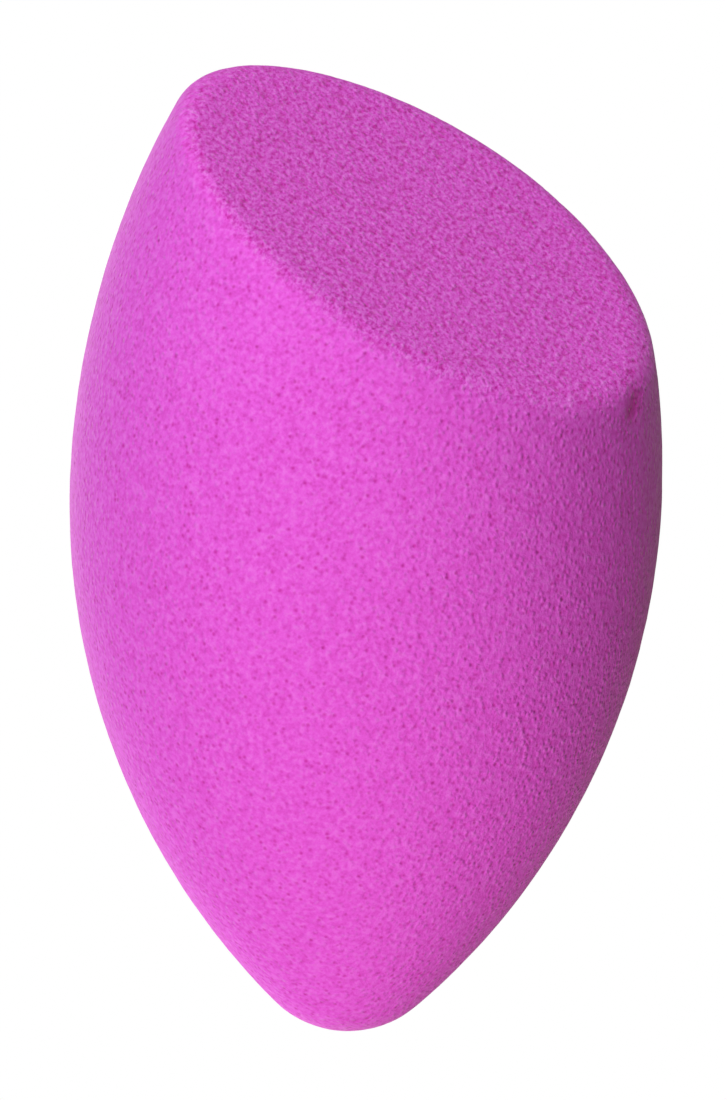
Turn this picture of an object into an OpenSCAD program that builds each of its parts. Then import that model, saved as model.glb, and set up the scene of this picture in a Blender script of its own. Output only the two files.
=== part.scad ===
// Makeup sponge: one soft foam teardrop with a slanted flat face, made in a mould.
// A thin skin of fine foam covers the sides and the tip. The flat face bares the open foam under it.
// It rests on the flat face with the tip up. All lengths are in millimetres.

/* [Sides and tip] */
// Widest diameter, at the belly
belly_d = 42; // [38:0.5:46]
// Height of the belly above the end of the tip
belly_h = 38.5; // [35:0.5:42]
// Radius of the blunt tip
tip_r = 7.4; // [5:0.2:9]
// Radius of the curve of the sides between the belly and the rim
shoulder_r = 59; // [50:1:70]

/* [Flat face] */
// Height above the end of the tip at which the face crosses the sponge's axis
face_h = 60.3; // [56:0.1:64]
// Slant of the face, away from square to the axis
face_slant = 35; // [25:1:40]
// Radius of the soft rim around the face
rim_r = 2.8; // [1.5:0.1:4]

/* [Foam] */
// Thickness of the skin over the open foam
skin_t = 0.4; // [0.2:0.05:0.8]

/* [Smoothness] */
// Facets around the sponge
sides = 72; // [48:4:96]
// Rings on the blunt tip
tip_rings = 5; // [3:1:8]
// Rings between the tip and the belly
flank_rings = 14; // [8:1:20]
// Rings between the belly and the rim
shoulder_rings = 8; // [5:1:12]
// Rings on the soft rim
rim_rings = 8; // [4:1:12]

/* [Hidden] */

belly_r = belly_d / 2;

// The flank is one arc. It leaves the belly upright and runs into the ball of the tip.
tip_drop = belly_h - tip_r;
flank_r = (pow(belly_r, 2) - pow(tip_r, 2) + pow(tip_drop, 2)) / (2 * (belly_r - tip_r));

// Centres of the three arcs of the sides, as [distance from the axis, height above the tip's end]
tip_c = [0, tip_r];
flank_c = [belly_r - flank_r, belly_h];
shoulder_c = [belly_r - shoulder_r, belly_h];
tip_join = atan2(tip_c.y - flank_c.y, tip_c.x - flank_c.x);

// The rounded form is made a little too long at the face, and then shaved to one true plane.
face_shave_share = 0.02;
shaved_h = face_h + face_shave_share * rim_r / cos(face_slant);

// Far enough to pass any part of the sponge
reach = belly_d + face_h;

// The inside is turned rounder than the outside, so that the thin skin keeps an even wall.
inside_fn = 3 * sides;

// Points along an arc about c, without its first point
function arc(c, r, from, to, steps) =
    [for (i = [1:steps]) let (a = from + (to - from) * i / steps) c + r * [cos(a), sin(a)]];

// The outline from the tip's end up to the belly, drawn in by an inset
function tip_to_belly(inset) =
    concat(
        arc(tip_c, tip_r - inset, -90, tip_join, tip_rings),
        arc(flank_c, flank_r - inset, tip_join, 0, flank_rings)
    );

// Normal of the face, in the half-plane that stands at angle a from the face's low side
function face_normal(a) = let (n = [tan(face_slant) * cos(a), 1]) n / norm(n);

// Centre of the rim's arc in that half-plane. It touches the face and the shoulder's arc.
function rim_c(a) =
    let (
        n = face_normal(a),
        along = [n.y, -n.x],
        foot = n * (shaved_h * n.y - rim_r),
        back = foot - shoulder_c,
        shift = sqrt(pow(back * along, 2) - back * back + pow(shoulder_r - rim_r, 2)) - back * along
    )
    foot + along * shift;

// The whole outline in that half-plane, from the tip's end to where the rim meets the face
function outline(a) =
    let (
        c = rim_c(a),
        n = face_normal(a),
        rim_start = atan2(c.y - shoulder_c.y, c.x - shoulder_c.x)
    )
    concat(
        tip_to_belly(0),
        arc(shoulder_c, shoulder_r, 0, rim_start, shoulder_rings),
        arc(c, rim_r, rim_start, atan2(n.y, n.x), rim_rings)
    );

// The sponge's outside, upright on its tip. The outline changes around the axis with the slant.
module rounded_form() {
    rings = tip_rings + flank_rings + shoulder_rings + rim_rings;
    face_centre = 1 + sides * rings;
    function at(i, k) = 1 + (i % sides) * rings + k;
    points = concat(
        [[0, 0, 0]],
        [for (i = [0:sides - 1]) let (a = 360 * i / sides)
            for (p = outline(a)) [p.x * cos(a), p.x * sin(a), p.y]],
        [[0, 0, shaved_h]]
    );
    tip_fan = [for (i = [0:sides - 1]) [0, at(i, 0), at(i + 1, 0)]];
    lower_halves = [for (i = [0:sides - 1], k = [0:rings - 2]) [at(i, k), at(i + 1, k + 1), at(i + 1, k)]];
    upper_halves = [for (i = [0:sides - 1], k = [0:rings - 2]) [at(i, k), at(i, k + 1), at(i + 1, k + 1)]];
    face_fan = [for (i = [0:sides - 1]) [face_centre, at(i + 1, rings - 1), at(i, rings - 1)]];
    polyhedron(points, concat(tip_fan, lower_halves, upper_halves, face_fan), convexity = 2);
}

// What lies under the skin, upright on its tip, and carried on past the face to a crown
module under_skin() {
    under_r = shoulder_r - skin_t;
    crown_a = acos(-shoulder_c.x / under_r);
    crown_h = belly_h + under_r * sin(crown_a);
    last_a = crown_a * (1 - 1 / shoulder_rings);
    rotate_extrude($fn = inside_fn)
        polygon(concat(
            [[0, skin_t]],
            tip_to_belly(skin_t),
            arc(shoulder_c, under_r, 0, last_a, shoulder_rings),
            [[0, crown_h]]
        ));
}

// Turns what is upright on its tip to rest on its face. The origin is where the axis crosses the face.
module rest_on_face() {
    rotate([0, 180 - face_slant, 0])
        translate([0, 0, -face_h])
            children();
}

// The whole sponge at rest, with its face shaved flat
module whole_sponge() {
    difference() {
        rest_on_face() rounded_form();
        translate([-reach, -reach, -reach]) cube([2 * reach, 2 * reach, reach]);
    }
}

// Open-celled foam, bare on the flat face and over most of its rim
module foam_core() {
    color("mediumorchid")
        intersection() {
            whole_sponge();
            rest_on_face() under_skin();
        }
}

// Fine, dense foam that set against the mould's wall, over the sides and the tip
module moulded_skin() {
    color("orchid")
        difference() {
            whole_sponge();
            rest_on_face() under_skin();
        }
}

foam_core();
moulded_skin();
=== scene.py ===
import math
import bmesh
import bpy
from mathutils import Matrix, Vector, noise


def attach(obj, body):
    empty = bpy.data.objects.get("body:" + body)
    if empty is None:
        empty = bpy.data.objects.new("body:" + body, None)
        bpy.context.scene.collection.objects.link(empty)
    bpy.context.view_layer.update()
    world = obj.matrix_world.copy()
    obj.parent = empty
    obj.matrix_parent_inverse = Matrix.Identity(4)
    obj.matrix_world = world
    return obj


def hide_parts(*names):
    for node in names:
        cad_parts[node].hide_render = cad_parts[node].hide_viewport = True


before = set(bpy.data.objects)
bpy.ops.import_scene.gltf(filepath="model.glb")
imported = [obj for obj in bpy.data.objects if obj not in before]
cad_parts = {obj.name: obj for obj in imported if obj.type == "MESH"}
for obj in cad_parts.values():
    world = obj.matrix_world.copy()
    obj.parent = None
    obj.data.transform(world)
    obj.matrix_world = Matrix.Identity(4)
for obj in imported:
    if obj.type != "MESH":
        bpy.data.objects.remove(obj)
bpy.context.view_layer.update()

# The view. The photograph looks at the sponge tip down, from slightly above, with the flat face
# turned up and towards the viewer. Here the sponge rests on that face, so the same view is taken
# from below the floor's level, and the camera is turned over with the sponge.
FACE_SLANT = math.radians(35)
FACE_HEIGHT = 0.0609
CAMERA_TURN = math.radians(45.6)
CAMERA_RISE = math.radians(5.6)
CAMERA_ROLL = math.radians(2.3)
CAMERA_DISTANCE = 1.0
NEAREST_SEEN = 0.01
FARTHEST_SEEN = 10
AIM_HEIGHT = 0.0344
BELLY_WIDTH = 0.042
BELLY_WIDTH_PX = 592
PHOTO_HEIGHT_PX = 1100

# Turns what stands upright on its tip, with its tip's end at zero, to rest on its flat face
tip_down_to_rest = (
    Matrix.Rotation(math.pi - FACE_SLANT, 4, "Y")
    @ Matrix.Translation((0, 0, -FACE_HEIGHT))
)
camera_data = bpy.data.cameras.new("camera")
camera_data.lens = (
    camera_data.sensor_width * CAMERA_DISTANCE * BELLY_WIDTH_PX / (PHOTO_HEIGHT_PX * BELLY_WIDTH)
)
camera_data.clip_start = NEAREST_SEEN
camera_data.clip_end = FARTHEST_SEEN
camera = bpy.data.objects.new("camera", camera_data)
camera_frame = (
    tip_down_to_rest
    @ Matrix.Translation((0, 0, AIM_HEIGHT))
    @ Matrix.Rotation(CAMERA_TURN, 4, "Z")
    @ Matrix.Rotation(math.pi / 2 - CAMERA_RISE, 4, "X")
    @ Matrix.Rotation(CAMERA_ROLL, 4, "Z")
)
camera.matrix_world = camera_frame @ Matrix.Translation((0, 0, CAMERA_DISTANCE))
bpy.context.scene.collection.objects.link(camera)
bpy.context.scene.camera = camera

# The studio. Large soft lamps stand in front of the sponge, mostly to its left, above and below it,
# and one lights its edge from behind on the left. The lamps on the left are a little cool and the
# front and low ones a little warm. The white surroundings fill in the shade.
LAMP_SIZE = 0.6
LAMP_DISTANCE = 0.8
PLAIN_WHITE = (1.0, 1.0, 1.0)
COOL_WHITE = (0.93, 1.09, 1.06)
WARM_WHITE = (1.10, 0.88, 0.90)


def soft_lamp(name, turn, rise, strength, colour):
    """A square lamp aimed at the sponge, placed by its angles from the camera's line of sight."""
    data = bpy.data.lights.new(name, "AREA")
    data.size = LAMP_SIZE
    data.energy = strength * (math.pi * LAMP_DISTANCE) ** 2
    data.color = colour
    lamp = bpy.data.objects.new(name, data)
    lamp.matrix_world = (
        camera_frame
        @ Matrix.Rotation(math.radians(turn), 4, "Y")
        @ Matrix.Rotation(math.radians(-rise), 4, "X")
        @ Matrix.Translation((0, 0, LAMP_DISTANCE))
    )
    bpy.context.scene.collection.objects.link(lamp)


soft_lamp("key_lamp", turn=-30, rise=-10, strength=0.52, colour=COOL_WHITE)
soft_lamp("front_lamp", turn=5, rise=0, strength=0.36, colour=WARM_WHITE)
soft_lamp("top_lamp", turn=-20, rise=70, strength=0.84, colour=PLAIN_WHITE)
soft_lamp("low_lamp", turn=-20, rise=-75, strength=0.62, colour=WARM_WHITE)
soft_lamp("side_lamp", turn=-100, rise=0, strength=0.10, colour=COOL_WHITE)
soft_lamp("back_lamp", turn=-150, rise=-15, strength=1.25, colour=COOL_WHITE)


def nodes_of(holder):
    """An empty node tree with a short way to add a node and set its inputs."""
    tree = holder.node_tree
    tree.nodes.clear()

    def add(kind, **values):
        node = tree.nodes.new(kind)
        for key, value in values.items():
            if hasattr(node, key):
                setattr(node, key, value)
            else:
                node.inputs[key.replace("_", " ")].default_value = value
        return node

    return tree, add


WHITE = (1.0, 1.0, 1.0, 1.0)
SURROUNDINGS_FILL = 0.03
world = bpy.data.worlds.new("studio")
world.use_nodes = True
bpy.context.scene.world = world
tree, add = nodes_of(world)
path = add("ShaderNodeLightPath")
fill = add("ShaderNodeBackground", Color=WHITE, Strength=SURROUNDINGS_FILL)
backdrop = add("ShaderNodeBackground", Color=WHITE, Strength=1.0)
seen_or_mirrored = add("ShaderNodeMath", operation="MAXIMUM")
backdrop_shows = add("ShaderNodeMath", operation="MAXIMUM")
mix = add("ShaderNodeMixShader")
out = add("ShaderNodeOutputWorld")
tree.links.new(path.outputs["Is Camera Ray"], seen_or_mirrored.inputs[0])
tree.links.new(path.outputs["Is Glossy Ray"], seen_or_mirrored.inputs[1])
tree.links.new(seen_or_mirrored.outputs[0], backdrop_shows.inputs[0])
tree.links.new(path.outputs["Is Transmission Ray"], backdrop_shows.inputs[1])
tree.links.new(backdrop_shows.outputs[0], mix.inputs["Fac"])
tree.links.new(fill.outputs[0], mix.inputs[1])
tree.links.new(backdrop.outputs[0], mix.inputs[2])
tree.links.new(mix.outputs[0], out.inputs["Surface"])

# The floor is a pale disc that fades out into the white round it. It shows only from above, so
# it hides nothing from the photograph's view, and it keeps no light from the face that rests on it.
FLOOR_RADIUS = 0.6
FLOOR_SEGMENTS = 96
FLOOR_DROP = 0.0002
FLOOR_FADE_START = 0.12
FLOOR_FADE_END = 0.5
FLOOR_GREY = (0.55, 0.55, 0.55, 1)
FLOOR_GLOW = 0.5
bm = bmesh.new()
bmesh.ops.create_circle(bm, cap_ends=True, segments=FLOOR_SEGMENTS, radius=FLOOR_RADIUS)
bmesh.ops.translate(bm, verts=bm.verts, vec=(0, 0, -FLOOR_DROP))
floor_mesh = bpy.data.meshes.new("floor")
bm.to_mesh(floor_mesh)
bm.free()
floor = bpy.data.objects.new("floor", floor_mesh)
bpy.context.scene.collection.objects.link(floor)
floor_material = bpy.data.materials.new("floor")
floor_material.use_nodes = True
floor_mesh.materials.append(floor_material)
tree, add = nodes_of(floor_material)
path = add("ShaderNodeLightPath")
facing = add("ShaderNodeNewGeometry")
place = add("ShaderNodeTexCoord")
reach = add("ShaderNodeVectorMath", operation="LENGTH")
fade = add(
    "ShaderNodeMapRange", interpolation_type="SMOOTHSTEP",
    From_Min=FLOOR_FADE_START, From_Max=FLOOR_FADE_END, To_Min=1.0, To_Max=0.0,
)
from_above = add("ShaderNodeMath", operation="SUBTRACT")
from_above.inputs[0].default_value = 1.0
seen_from_above = add("ShaderNodeMath", operation="MULTIPLY")
shown = add("ShaderNodeMath", operation="MULTIPLY")
lit = add("ShaderNodeBsdfDiffuse", Color=FLOOR_GREY)
glow = add("ShaderNodeEmission", Color=WHITE, Strength=FLOOR_GLOW)
pale = add("ShaderNodeAddShader")
clear = add("ShaderNodeBsdfTransparent")
mix = add("ShaderNodeMixShader")
out = add("ShaderNodeOutputMaterial")
tree.links.new(place.outputs["Object"], reach.inputs[0])
tree.links.new(reach.outputs["Value"], fade.inputs["Value"])
tree.links.new(facing.outputs["Backfacing"], from_above.inputs[1])
tree.links.new(path.outputs["Is Camera Ray"], seen_from_above.inputs[0])
tree.links.new(from_above.outputs[0], seen_from_above.inputs[1])
tree.links.new(seen_from_above.outputs[0], shown.inputs[0])
tree.links.new(fade.outputs["Result"], shown.inputs[1])
tree.links.new(lit.outputs[0], pale.inputs[0])
tree.links.new(glow.outputs[0], pale.inputs[1])
tree.links.new(shown.outputs[0], mix.inputs["Fac"])
tree.links.new(clear.outputs[0], mix.inputs[1])
tree.links.new(pale.outputs[0], mix.inputs[2])
tree.links.new(mix.outputs[0], out.inputs["Surface"])

# The sponge's form. The real sponge is moulded in one piece, a body of revolution of three arcs,
# and cut once at a slant. Its rim is worn unevenly: softest on the side turned away from the
# photograph, and soft again on a stretch of the near side. Both layers are made from this form.
BELLY_HEIGHT = 0.0387
TIP_RADIUS = 0.0074
SHOULDER_RADIUS = 0.0593
RIM_RADIUS_CRISP = 0.0008
RIM_RADIUS_SOFT = 0.0046
RIM_SOFT_TURN = math.radians(101)
RIM_SOFT_BIAS = 0.77
NEAR_WEAR_TURN = math.radians(-42)
NEAR_WEAR_SPREAD = math.radians(30)
NEAR_WEAR_RADIUS = 0.0026
RINGS_PER_ARC = 24
TURNS = 180

belly_radius = BELLY_WIDTH / 2
tip_drop = BELLY_HEIGHT - TIP_RADIUS
flank_radius = (belly_radius**2 - TIP_RADIUS**2 + tip_drop**2) / (2 * (belly_radius - TIP_RADIUS))
flank_centre = Vector((belly_radius - flank_radius, BELLY_HEIGHT))
shoulder_centre = Vector((belly_radius - SHOULDER_RADIUS, BELLY_HEIGHT))
tip_join = math.atan2(-tip_drop, -flank_centre.x)


def arc(centre, radius, start, end):
    """Points along an arc, without its first point."""
    for i in range(1, RINGS_PER_ARC + 1):
        angle = start + (end - start) * i / RINGS_PER_ARC
        yield centre + radius * Vector((math.cos(angle), math.sin(angle)))


def rim_arc(turn):
    """The rim's centre, radius, and angles where it leaves the side and meets the face."""
    softness = ((1 + math.cos(turn - RIM_SOFT_TURN)) / 2) ** RIM_SOFT_BIAS
    from_wear = math.remainder(turn - NEAR_WEAR_TURN, 2 * math.pi)
    worn = NEAR_WEAR_RADIUS * math.exp(-((from_wear / NEAR_WEAR_SPREAD) ** 2))
    radius = RIM_RADIUS_CRISP + (RIM_RADIUS_SOFT - RIM_RADIUS_CRISP) * softness + worn
    normal = Vector((math.tan(FACE_SLANT) * math.cos(turn), 1)).normalized()
    along = Vector((normal.y, -normal.x))
    foot = normal * (FACE_HEIGHT * normal.y - radius)
    back = foot - shoulder_centre
    reach = back.dot(along)
    shift = math.sqrt(reach**2 - back.length_squared + (SHOULDER_RADIUS - radius) ** 2) - reach
    centre = foot + along * shift
    off_side = centre - shoulder_centre
    return centre, radius, math.atan2(off_side.y, off_side.x), math.atan2(normal.y, normal.x)


def outline(turn):
    """The outline from the tip's end to where the rim meets the face, at a turn round the axis."""
    centre, radius, rim_start, rim_end = rim_arc(turn)
    yield from arc(Vector((0, TIP_RADIUS)), TIP_RADIUS, -math.pi / 2, tip_join)
    yield from arc(flank_centre, flank_radius, tip_join, 0)
    yield from arc(shoulder_centre, SHOULDER_RADIUS, 0, rim_start)
    yield from arc(centre, radius, rim_start, rim_end)


# One outline is spun round the axis. As the rim's wear changes on the way, each point of the spun
# surface then moves to its place on the outline at its own turn.
bm = bmesh.new()
ring = bm.verts.layers.int.new("ring")
profile = [bm.verts.new((0, 0, 0))]
profile += [bm.verts.new((point.x, 0, point.y)) for point in outline(0)]
for number, vert in enumerate(profile):
    vert[ring] = number
profile_edges = [bm.edges.new(ends) for ends in zip(profile, profile[1:])]
bmesh.ops.spin(
    bm, geom=profile + profile_edges, cent=(0, 0, 0), axis=(0, 0, 1),
    angle=2 * math.pi, steps=TURNS, use_merge=True,
)
tip_ends = [vert for vert in bm.verts if vert[ring] == 0]
bmesh.ops.pointmerge(bm, verts=tip_ends, merge_co=(0, 0, 0))
outlines = [list(outline(2 * math.pi * i / TURNS)) for i in range(TURNS)]
for vert in bm.verts:
    if vert[ring] > 0:
        turn = math.atan2(vert.co.y, vert.co.x)
        step = round(turn / (2 * math.pi) * TURNS) % TURNS
        point = outlines[step][vert[ring] - 1]
        vert.co = (point.x * math.cos(turn), point.x * math.sin(turn), point.y)
bmesh.ops.holes_fill(bm, edges=bm.edges)
bmesh.ops.transform(bm, matrix=tip_down_to_rest, verts=bm.verts)
bmesh.ops.recalc_face_normals(bm, faces=bm.faces)

# The same form again on an even grid, fine enough for the relief of the foam
FOAM_GRID = 0.00046
EASING_STRENGTH = 0.5
EASING_ROUNDS = 5
form_mesh = bpy.data.meshes.new("form")
bm.to_mesh(form_mesh)
bm.free()
form = bpy.data.objects.new("form", form_mesh)
bpy.context.scene.collection.objects.link(form)
even_grid = form.modifiers.new("even grid", "REMESH")
even_grid.mode = "VOXEL"
even_grid.voxel_size = FOAM_GRID
easing = form.modifiers.new("easing", "SMOOTH")
easing.factor = EASING_STRENGTH
easing.iterations = EASING_ROUNDS
foam = bmesh.new()
foam.from_object(form, bpy.context.evaluated_depsgraph_get())
bpy.data.objects.remove(form)
bpy.data.meshes.remove(form_mesh)

# The skin line, where the moulded skin ends at the rim and the open foam begins. It lies in a plane
# just above the face, a little higher at the high side of the cut. The foam's grid is cut along it
# and made finer below it, for the opened cells.
SKIN_THICKNESS = 0.0004
SKIN_LINE_LOW = Vector((-0.0242, 0, 0.0001))
SKIN_LINE_HIGH = Vector((0.0150, 0, 0.0015))
LINE_TOLERANCE = FOAM_GRID / 20
OPEN_CUTS = 2
skin_line = SKIN_LINE_HIGH - SKIN_LINE_LOW
skin_line_normal = Vector((-skin_line.z, 0, skin_line.x)).normalized()
bmesh.ops.bisect_plane(
    foam, geom=foam.verts[:] + foam.edges[:] + foam.faces[:],
    dist=LINE_TOLERANCE, plane_co=SKIN_LINE_LOW, plane_no=skin_line_normal,
)


def faces_of(bm, is_skin):
    """The faces above the skin line, which the skin covers, or those below it, which lie bare."""
    return [
        face for face in bm.faces
        if ((face.calc_center_median() - SKIN_LINE_LOW).dot(skin_line_normal) > 0) == is_skin
    ]


open_edges = {edge for face in faces_of(foam, is_skin=False) for edge in face.edges}
bmesh.ops.subdivide_edges(foam, edges=list(open_edges), cuts=OPEN_CUTS, use_grid_fill=True)

# Relief of the foam. Slow swells run all over. The cut opens the cells, and each opened cell is a
# small pit, drawn out a little along the knife's stroke. One soft dent lies under the rim, near its
# lowest point, and painted shade darkens it.
SWELL_SIZE = 0.0030
SWELL_HEIGHT = 0.00003
LUMP_SIZE = 0.0012
LUMP_HEIGHT = 0.000016
CELL_SIZE = 0.00060
CELL_REACH = 0.48
CELL_DEPTH = 0.00006
OPEN_CELL_SHARE = 0.75
DRAW_SPREAD = 7
STROKE_TURN = math.radians(53)
STROKE_DRAW = 1.6
OPEN_BELOW = 0.0010
DENT_TOP = Vector((-0.0234, 0.0080, 0.0008))
DENT_END = Vector((-0.0247, 0.0068, 0.0013))
DENT_WIDTH = 0.0007
DENT_DEPTH = 0.00017

across_stroke = Matrix.Diagonal((1 / STROKE_DRAW, 1, 1)) @ Matrix.Rotation(-STROKE_TURN, 3, "Z")


def eased(value):
    """Holds a value to 0 and 1 and rounds its way between them."""
    value = min(1, max(0, value))
    return value * value * (3 - 2 * value)


def dent(point):
    """How deep the dent is at a point, as a share of its depth."""
    line = DENT_END - DENT_TOP
    along = min(1, max(0, (point - DENT_TOP).dot(line) / line.length_squared))
    return math.exp(-(((point - DENT_TOP - along * line).length / DENT_WIDTH) ** 2))


def opened_cell(point):
    """How far the cut opens a cell at a point: 1 in the middle of a pit, 0 on the walls between."""
    if point.z > OPEN_BELOW:
        return 0
    distances, centres = noise.voronoi(across_stroke @ point / CELL_SIZE)
    # Each cell draws its own number from the place of its centre, and some stay shut
    if noise.cell(centres[0] * DRAW_SPREAD) > OPEN_CELL_SHARE:
        return 0
    return eased(1 - distances[0] / CELL_REACH) * eased(1 - point.z / OPEN_BELOW)


pit = foam.verts.layers.float.new("pit")
form_normal = foam.verts.layers.float_vector.new("form normal")
foam.normal_update()
raised = []
for vert in foam.verts:
    point = vert.co
    height = SWELL_HEIGHT * noise.noise(point / SWELL_SIZE)
    height += LUMP_HEIGHT * noise.noise(point / LUMP_SIZE)
    # The dent's share sinks the surface and also marks the dent for painted shade
    dent_and_painted_shade = dent(point)
    opened = opened_cell(point)
    height -= DENT_DEPTH * dent_and_painted_shade + CELL_DEPTH * opened
    # The opened cells and the dent are marked for the finish, which darkens them with painted shade
    vert[pit] = max(opened, dent_and_painted_shade)
    raised.append(point + height * vert.normal)
for vert, place in zip(foam.verts, raised):
    vert.co = place
foam.normal_update()
for vert in foam.verts:
    vert[form_normal] = vert.normal

# Foam finish. The dye goes right through the foam, so both layers share one finish, and only the
# cells differ: fine closed ones with small pits in the skin, open ones where the knife went
# through. The group gives them from the place on the piece, blended in a frayed band at the rim.
SKIN_GRAIN_SIZE = 0.00040
SKIN_GRAIN_DETAIL = 2.0
SKIN_GRAIN_ROUGHNESS = 0.6
SKIN_GRAIN_CONTRAST = 0.8
SKIN_GRAIN_RELIEF = 0.9
OPEN_GRAIN_SIZE = 0.00032
OPEN_GRAIN_DETAIL = 4.0
OPEN_GRAIN_ROUGHNESS = 0.7
OPEN_GRAIN_CONTRAST = 2.6
OPEN_GRAIN_RELIEF = 1.0
MIDDLE_TONE = 0.5
MOTTLE_SIZE = 0.0011
MOTTLE_DETAIL = 1.0
MOTTLE_CONTRAST = 0.13
SKIN_PIT_SPACING = 0.00054
SKIN_PIT_WIDTH = 0.42
SKIN_PIT_SHARE = 0.9
SKIN_PIT_LEAST = 0.5
SKIN_PIT_RELIEF = 0.3
BEAD_SIZE = 0.00052
BEAD_WIDTH = 0.55
BEAD_RELIEF = 0.70
FRAY_HEIGHT = OPEN_BELOW / 2
ALL_OPEN_BELOW = OPEN_BELOW / 3
ALL_SKIN_ABOVE = OPEN_BELOW * 1.3


def foam_cells():
    """A node group that gives the foam's tone, pits and height, and how open its cells are."""
    group = bpy.data.node_groups.new("foam cells", "ShaderNodeTree")
    for name in ("Tone", "Pits", "Height", "Open"):
        group.interface.new_socket(name, in_out="OUTPUT", socket_type="NodeSocketFloat")
    nodes, links = group.nodes, group.links

    def texture(kind, size, **settings):
        node = nodes.new(kind)
        links.new(place.outputs["Object"], node.inputs["Vector"])
        node.inputs["Scale"].default_value = 1 / size
        for name, value in settings.items():
            node.inputs[name].default_value = value
        return node

    def math_node(operation, *values):
        node = nodes.new("ShaderNodeMath")
        node.operation = operation
        for socket, value in zip(node.inputs, values):
            if isinstance(value, (int, float)):
                socket.default_value = value
            else:
                links.new(value, socket)
        return node.outputs[0]

    def ramp(value, low, high, at_low, at_high):
        node = nodes.new("ShaderNodeMapRange")
        node.interpolation_type = "SMOOTHSTEP"
        links.new(value, node.inputs["Value"])
        node.inputs["From Min"].default_value = low
        node.inputs["From Max"].default_value = high
        node.inputs["To Min"].default_value = at_low
        node.inputs["To Max"].default_value = at_high
        return node.outputs["Result"]

    # The frayed band between the layers
    place = nodes.new("ShaderNodeTexCoord")
    axes = nodes.new("ShaderNodeSeparateXYZ")
    links.new(place.outputs["Object"], axes.inputs["Vector"])
    fray = texture("ShaderNodeTexNoise", LUMP_SIZE).outputs["Fac"]
    frayed_height = math_node("MULTIPLY_ADD", fray, FRAY_HEIGHT, axes.outputs["Z"])
    is_open = ramp(frayed_height, ALL_OPEN_BELOW, ALL_SKIN_ABOVE, 1, 0)

    # Grain, finer in the skin, and drawn out along the knife's stroke in the open foam
    skin_grain = texture(
        "ShaderNodeTexNoise", SKIN_GRAIN_SIZE, Detail=SKIN_GRAIN_DETAIL, Roughness=SKIN_GRAIN_ROUGHNESS
    )
    open_grain = texture(
        "ShaderNodeTexNoise", OPEN_GRAIN_SIZE, Detail=OPEN_GRAIN_DETAIL, Roughness=OPEN_GRAIN_ROUGHNESS
    )
    stroke = nodes.new("ShaderNodeMapping")
    stroke.vector_type = "TEXTURE"
    stroke.inputs["Rotation"].default_value = (0, 0, STROKE_TURN)
    stroke.inputs["Scale"].default_value = (STROKE_DRAW, 1, 1)
    links.new(place.outputs["Object"], stroke.inputs["Vector"])
    links.new(stroke.outputs["Vector"], open_grain.inputs["Vector"])
    grain = nodes.new("ShaderNodeMix")
    links.new(is_open, grain.inputs["Factor"])
    links.new(skin_grain.outputs["Fac"], grain.inputs["A"])
    links.new(open_grain.outputs["Fac"], grain.inputs["B"])
    off_middle = math_node("SUBTRACT", grain.outputs["Result"], MIDDLE_TONE)

    # Tone: the grain and a slow mottle, about the foam's middle tone. The grain's part follows its
    # height, so its hollows are painted shade and its tops a painted highlight.
    contrast = math_node(
        "MULTIPLY_ADD", is_open, OPEN_GRAIN_CONTRAST - SKIN_GRAIN_CONTRAST, SKIN_GRAIN_CONTRAST
    )
    grain_tone_and_shade = math_node("MULTIPLY_ADD", off_middle, contrast, MIDDLE_TONE - MOTTLE_CONTRAST / 2)
    mottle = texture("ShaderNodeTexNoise", MOTTLE_SIZE, Detail=MOTTLE_DETAIL).outputs["Fac"]
    tone = math_node("MULTIPLY_ADD", mottle, MOTTLE_CONTRAST, grain_tone_and_shade)

    # Pits: the skin's, each of its own depth, and the opened cells and the dent that the mesh carries,
    # where the finish paints shade
    spots = texture("ShaderNodeTexVoronoi", SKIN_PIT_SPACING)
    chance = nodes.new("ShaderNodeSeparateColor")
    links.new(spots.outputs["Color"], chance.inputs["Color"])
    is_pit = math_node("LESS_THAN", chance.outputs["Red"], SKIN_PIT_SHARE)
    depth = math_node("MULTIPLY", is_pit, ramp(chance.outputs["Green"], 0, 1, SKIN_PIT_LEAST, 1))
    closed_pits = math_node("MULTIPLY", depth, ramp(spots.outputs["Distance"], 0, SKIN_PIT_WIDTH, 1, 0))
    skin_pits = math_node("MULTIPLY", closed_pits, math_node("SUBTRACT", 1, is_open))
    opened_pits = nodes.new("ShaderNodeAttribute")
    opened_pits.attribute_name = "pit"
    pits = math_node("MAXIMUM", skin_pits, opened_pits.outputs["Fac"])

    # Height: the grain, beads between the cells, and the skin's pits
    relief = math_node("MULTIPLY_ADD", is_open, OPEN_GRAIN_RELIEF - SKIN_GRAIN_RELIEF, SKIN_GRAIN_RELIEF)
    grain_height = math_node("MULTIPLY", off_middle, relief)
    beads = texture("ShaderNodeTexVoronoi", BEAD_SIZE)
    bead_height = ramp(beads.outputs["Distance"], 0, BEAD_WIDTH, BEAD_RELIEF, 0)
    beaded = math_node("ADD", grain_height, bead_height)
    height = math_node("MULTIPLY_ADD", skin_pits, -SKIN_PIT_RELIEF, beaded)

    out = nodes.new("NodeGroupOutput")
    links.new(tone, out.inputs["Tone"])
    links.new(pits, out.inputs["Pits"])
    links.new(height, out.inputs["Height"])
    links.new(is_open, out.inputs["Open"])
    return group


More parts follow.
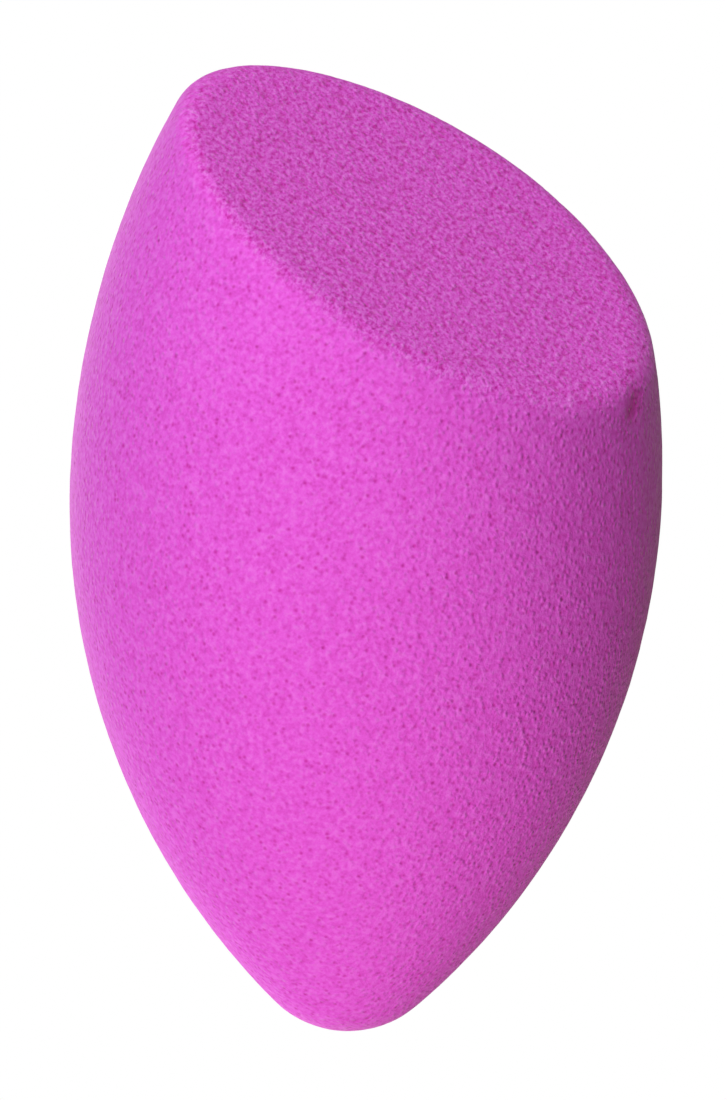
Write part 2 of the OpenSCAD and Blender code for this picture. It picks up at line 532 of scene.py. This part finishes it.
# The foam itself: orchid dye, with painted shade in the pits and in the grain's hollows and a painted
# highlight on the grain's tops, a matt surface and a faint velvety sheen
# The grain's hollows take the deep colour as painted shade and its tops the pale one as a painted
# highlight; the slow mottle spreads the same colours as random tone
DEEP_TONE_AND_SHADE_COLOUR = (0.51, 0.010, 0.32, 1)
FOAM_COLOUR = (0.73, 0.100, 0.66, 1)
PALE_TONE_AND_HIGHLIGHT_COLOUR = (0.80, 0.240, 0.78, 1)
PIT_SHADE_COLOUR = (0.50, 0.018, 0.29, 1)
PIT_SHADE_STRENGTH = 0.75
FINISH_DEPTH = 0.0001
SKIN_ROUGHNESS = 0.82
OPEN_ROUGHNESS = 0.94
PIT_ROUGHNESS = 0.06
VELVET_SHEEN = 0.25
VELVET_SPREAD = 0.35
VELVET_TINT = (1.0, 0.75, 0.80, 1)
cell_group = foam_cells()


def foam_material(name):
    """The foam's finish, under its own name for each piece."""
    material = bpy.data.materials.new(name)
    material.use_nodes = True
    tree, add = nodes_of(material)
    cells = add("ShaderNodeGroup", node_tree=cell_group)
    dye_and_shade_ramp = add("ShaderNodeValToRGB")
    dye_and_shade_ramp.color_ramp.elements[0].color = DEEP_TONE_AND_SHADE_COLOUR
    dye_and_shade_ramp.color_ramp.elements[1].color = PALE_TONE_AND_HIGHLIGHT_COLOUR
    dye_and_shade_ramp.color_ramp.elements.new(MIDDLE_TONE).color = FOAM_COLOUR
    # Painted shade: the pits are mixed towards a deeper colour
    pit_shade_share = add("ShaderNodeMath", operation="MULTIPLY")
    pit_shade_share.inputs[1].default_value = PIT_SHADE_STRENGTH
    pit_shaded = add("ShaderNodeMix", data_type="RGBA", B=PIT_SHADE_COLOUR)
    relief = add("ShaderNodeBump", Strength=1.0, Distance=FINISH_DEPTH)
    layer_roughness = add("ShaderNodeMath", operation="MULTIPLY_ADD")
    layer_roughness.inputs[1].default_value = OPEN_ROUGHNESS - SKIN_ROUGHNESS
    layer_roughness.inputs[2].default_value = SKIN_ROUGHNESS
    roughness = add("ShaderNodeMath", operation="MULTIPLY_ADD")
    roughness.inputs[1].default_value = PIT_ROUGHNESS
    shader = add("ShaderNodeBsdfPrincipled")
    shader.inputs["Specular IOR Level"].default_value = 0.0
    shader.inputs["Sheen Weight"].default_value = VELVET_SHEEN
    shader.inputs["Sheen Roughness"].default_value = VELVET_SPREAD
    shader.inputs["Sheen Tint"].default_value = VELVET_TINT
    out = add("ShaderNodeOutputMaterial")
    tree.links.new(cells.outputs["Tone"], dye_and_shade_ramp.inputs["Fac"])
    tree.links.new(cells.outputs["Pits"], pit_shade_share.inputs[0])
    tree.links.new(pit_shade_share.outputs[0], pit_shaded.inputs["Factor"])
    tree.links.new(dye_and_shade_ramp.outputs["Color"], pit_shaded.inputs["A"])
    tree.links.new(cells.outputs["Height"], relief.inputs["Height"])
    tree.links.new(cells.outputs["Open"], layer_roughness.inputs[0])
    tree.links.new(cells.outputs["Pits"], roughness.inputs[0])
    tree.links.new(layer_roughness.outputs[0], roughness.inputs[2])
    tree.links.new(pit_shaded.outputs["Result"], shader.inputs["Base Color"])
    tree.links.new(roughness.outputs[0], shader.inputs["Roughness"])
    tree.links.new(relief.outputs[0], shader.inputs["Normal"])
    tree.links.new(shader.outputs[0], out.inputs["Surface"])
    return material


# Foam core. The open-celled foam fills the whole sponge under its skin, and lies bare on the
# sliced face and the worn rim, where the knife opened its cells. Under the skin it is the same
# form again, sunk by the skin's thickness, with a small step at the skin line.
def border(bm, faces):
    """The edges round a set of faces."""
    inside = set(faces)
    return [edge for edge in bm.edges if sum(face in inside for face in edge.link_faces) == 1]


def sink(bm, faces):
    """Moves faces in by the skin's thickness, along the form's normals."""
    normal = bm.verts.layers.float_vector["form normal"]
    for vert in {vert for face in faces for vert in face.verts}:
        vert.co -= SKIN_THICKNESS * Vector(vert[normal])


def piece_from(bm, shown, name, material, node):
    """Makes a mesh the piece that stands for a node, with the form's shading on its shown faces."""
    normal = bm.verts.layers.float_vector["form normal"]
    shown = set(shown)
    shading = []
    for face in bm.faces:
        face.smooth = True
        for vert in face.verts:
            shading.append(Vector(vert[normal]) if face in shown else Vector())
    mesh = bpy.data.meshes.new(name)
    bm.to_mesh(mesh)
    bm.free()
    mesh.normals_split_custom_set(shading)
    mesh.materials.append(material)
    piece = bpy.data.objects.new(name, mesh)
    bpy.context.scene.collection.objects.link(piece)
    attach(piece, "root")
    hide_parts(node)


core = foam.copy()
covered = faces_of(core, is_skin=True)
bare = faces_of(core, is_skin=False)
bmesh.ops.split_edges(core, edges=border(core, covered))
sink(core, covered)
step_edges = border(core, covered) + border(core, bare)
bmesh.ops.bridge_loops(core, edges=step_edges)
for edge in step_edges:
    edge.smooth = False
piece_from(core, bare, "open_foam_core", foam_material("open foam"), "foam_core")

# Moulded skin. Where the foam set against the mould's wall its cells stayed small and closed up,
# which leaves a smooth, velvety skin with fine pits over the sides and the tip.
skin = foam.copy()
foam.free()
bmesh.ops.delete(skin, geom=faces_of(skin, is_skin=False), context="FACES")
outside = skin.faces[:]
doubled = bmesh.ops.duplicate(skin, geom=outside)["geom"]
inside = [part for part in doubled if isinstance(part, bmesh.types.BMFace)]
sink(skin, inside)
bmesh.ops.reverse_faces(skin, faces=inside)
end_edges = border(skin, outside) + border(skin, inside)
bmesh.ops.bridge_loops(skin, edges=end_edges)
for edge in end_edges:
    edge.smooth = False
piece_from(skin, outside, "velvety_skin", foam_material("skin foam"), "moulded_skin")

# The picture shows each colour as it is written.
view = bpy.context.scene.view_settings
view.view_transform = "Standard"
